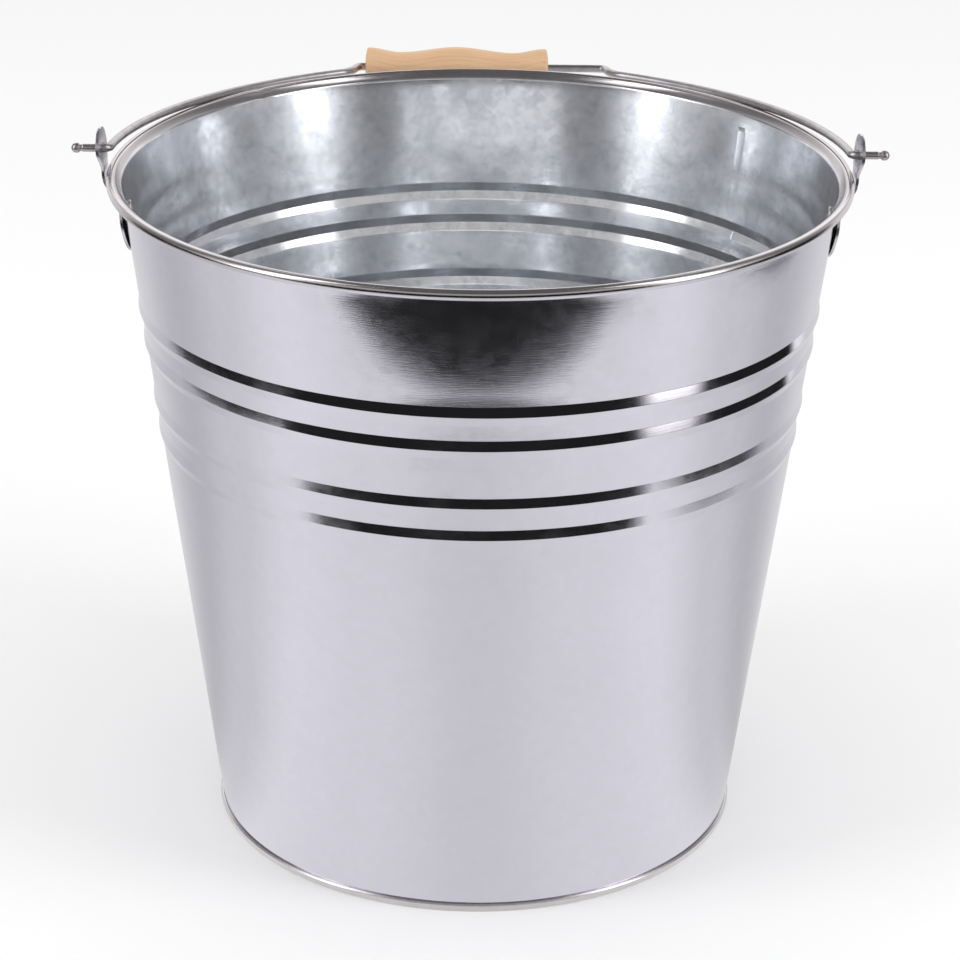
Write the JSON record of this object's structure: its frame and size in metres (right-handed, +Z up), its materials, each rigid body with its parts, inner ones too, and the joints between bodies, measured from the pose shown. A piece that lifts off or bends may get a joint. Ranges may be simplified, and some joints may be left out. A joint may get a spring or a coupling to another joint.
{
  "type": "florist bucket",
  "caption": "Tapered galvanised sheet-steel bucket with rolled rim, raised beads, riveted ears and a swinging wire bail with a turned wooden grip.",
  "frame": {"origin": "on the bucket's own axis, in the plane that it stands on", "axes": "+Z up along the bucket's axis; the ears lie on +X and -X; at rest the bail hangs back over the rim on +Y"},
  "size_m": [0.3288, 0.3202, 0.2953],
  "materials": {
    "wall_zinc": "bright galvanised sheet, satin, lightly spangled",
    "base_zinc": "galvanised sheet, satin",
    "ear_zinc": "galvanised pressing, satin",
    "rim_wire_steel": "drawn steel wire, dull",
    "rivet_steel": "zinc plated, satin",
    "bail_zinc": "galvanised wire, satin",
    "beech": "turned beech, thinly lacquered, satin"
  },
  "bodies": {
    "bucket": {"bucket_wall": "wall_zinc", "base_pan": "base_zinc", "rim_wire": "rim_wire_steel", "ear_left": "ear_zinc", "ear_right": "ear_zinc", "ear_rivet_left": "rivet_steel", "ear_rivet_right": "rivet_steel"},
    "bail": {"bail_wire": "bail_zinc"},
    "grip": {"wooden_grip": "beech"}
  },
  "joints": [
    {"name": "bail_swing", "type": "hinge", "parent": "bucket", "child": "bail", "pos_m": [0, 0, 0.2867], "axis": [1, 0, 0], "range_deg": [0, 187]},
    {"name": "grip_spin", "type": "hinge", "parent": "bail", "child": "grip", "pos_m": [-0.011, 0.1612, 0.27684], "axis": [1, 0, 0], "continuous": true}
  ]
}
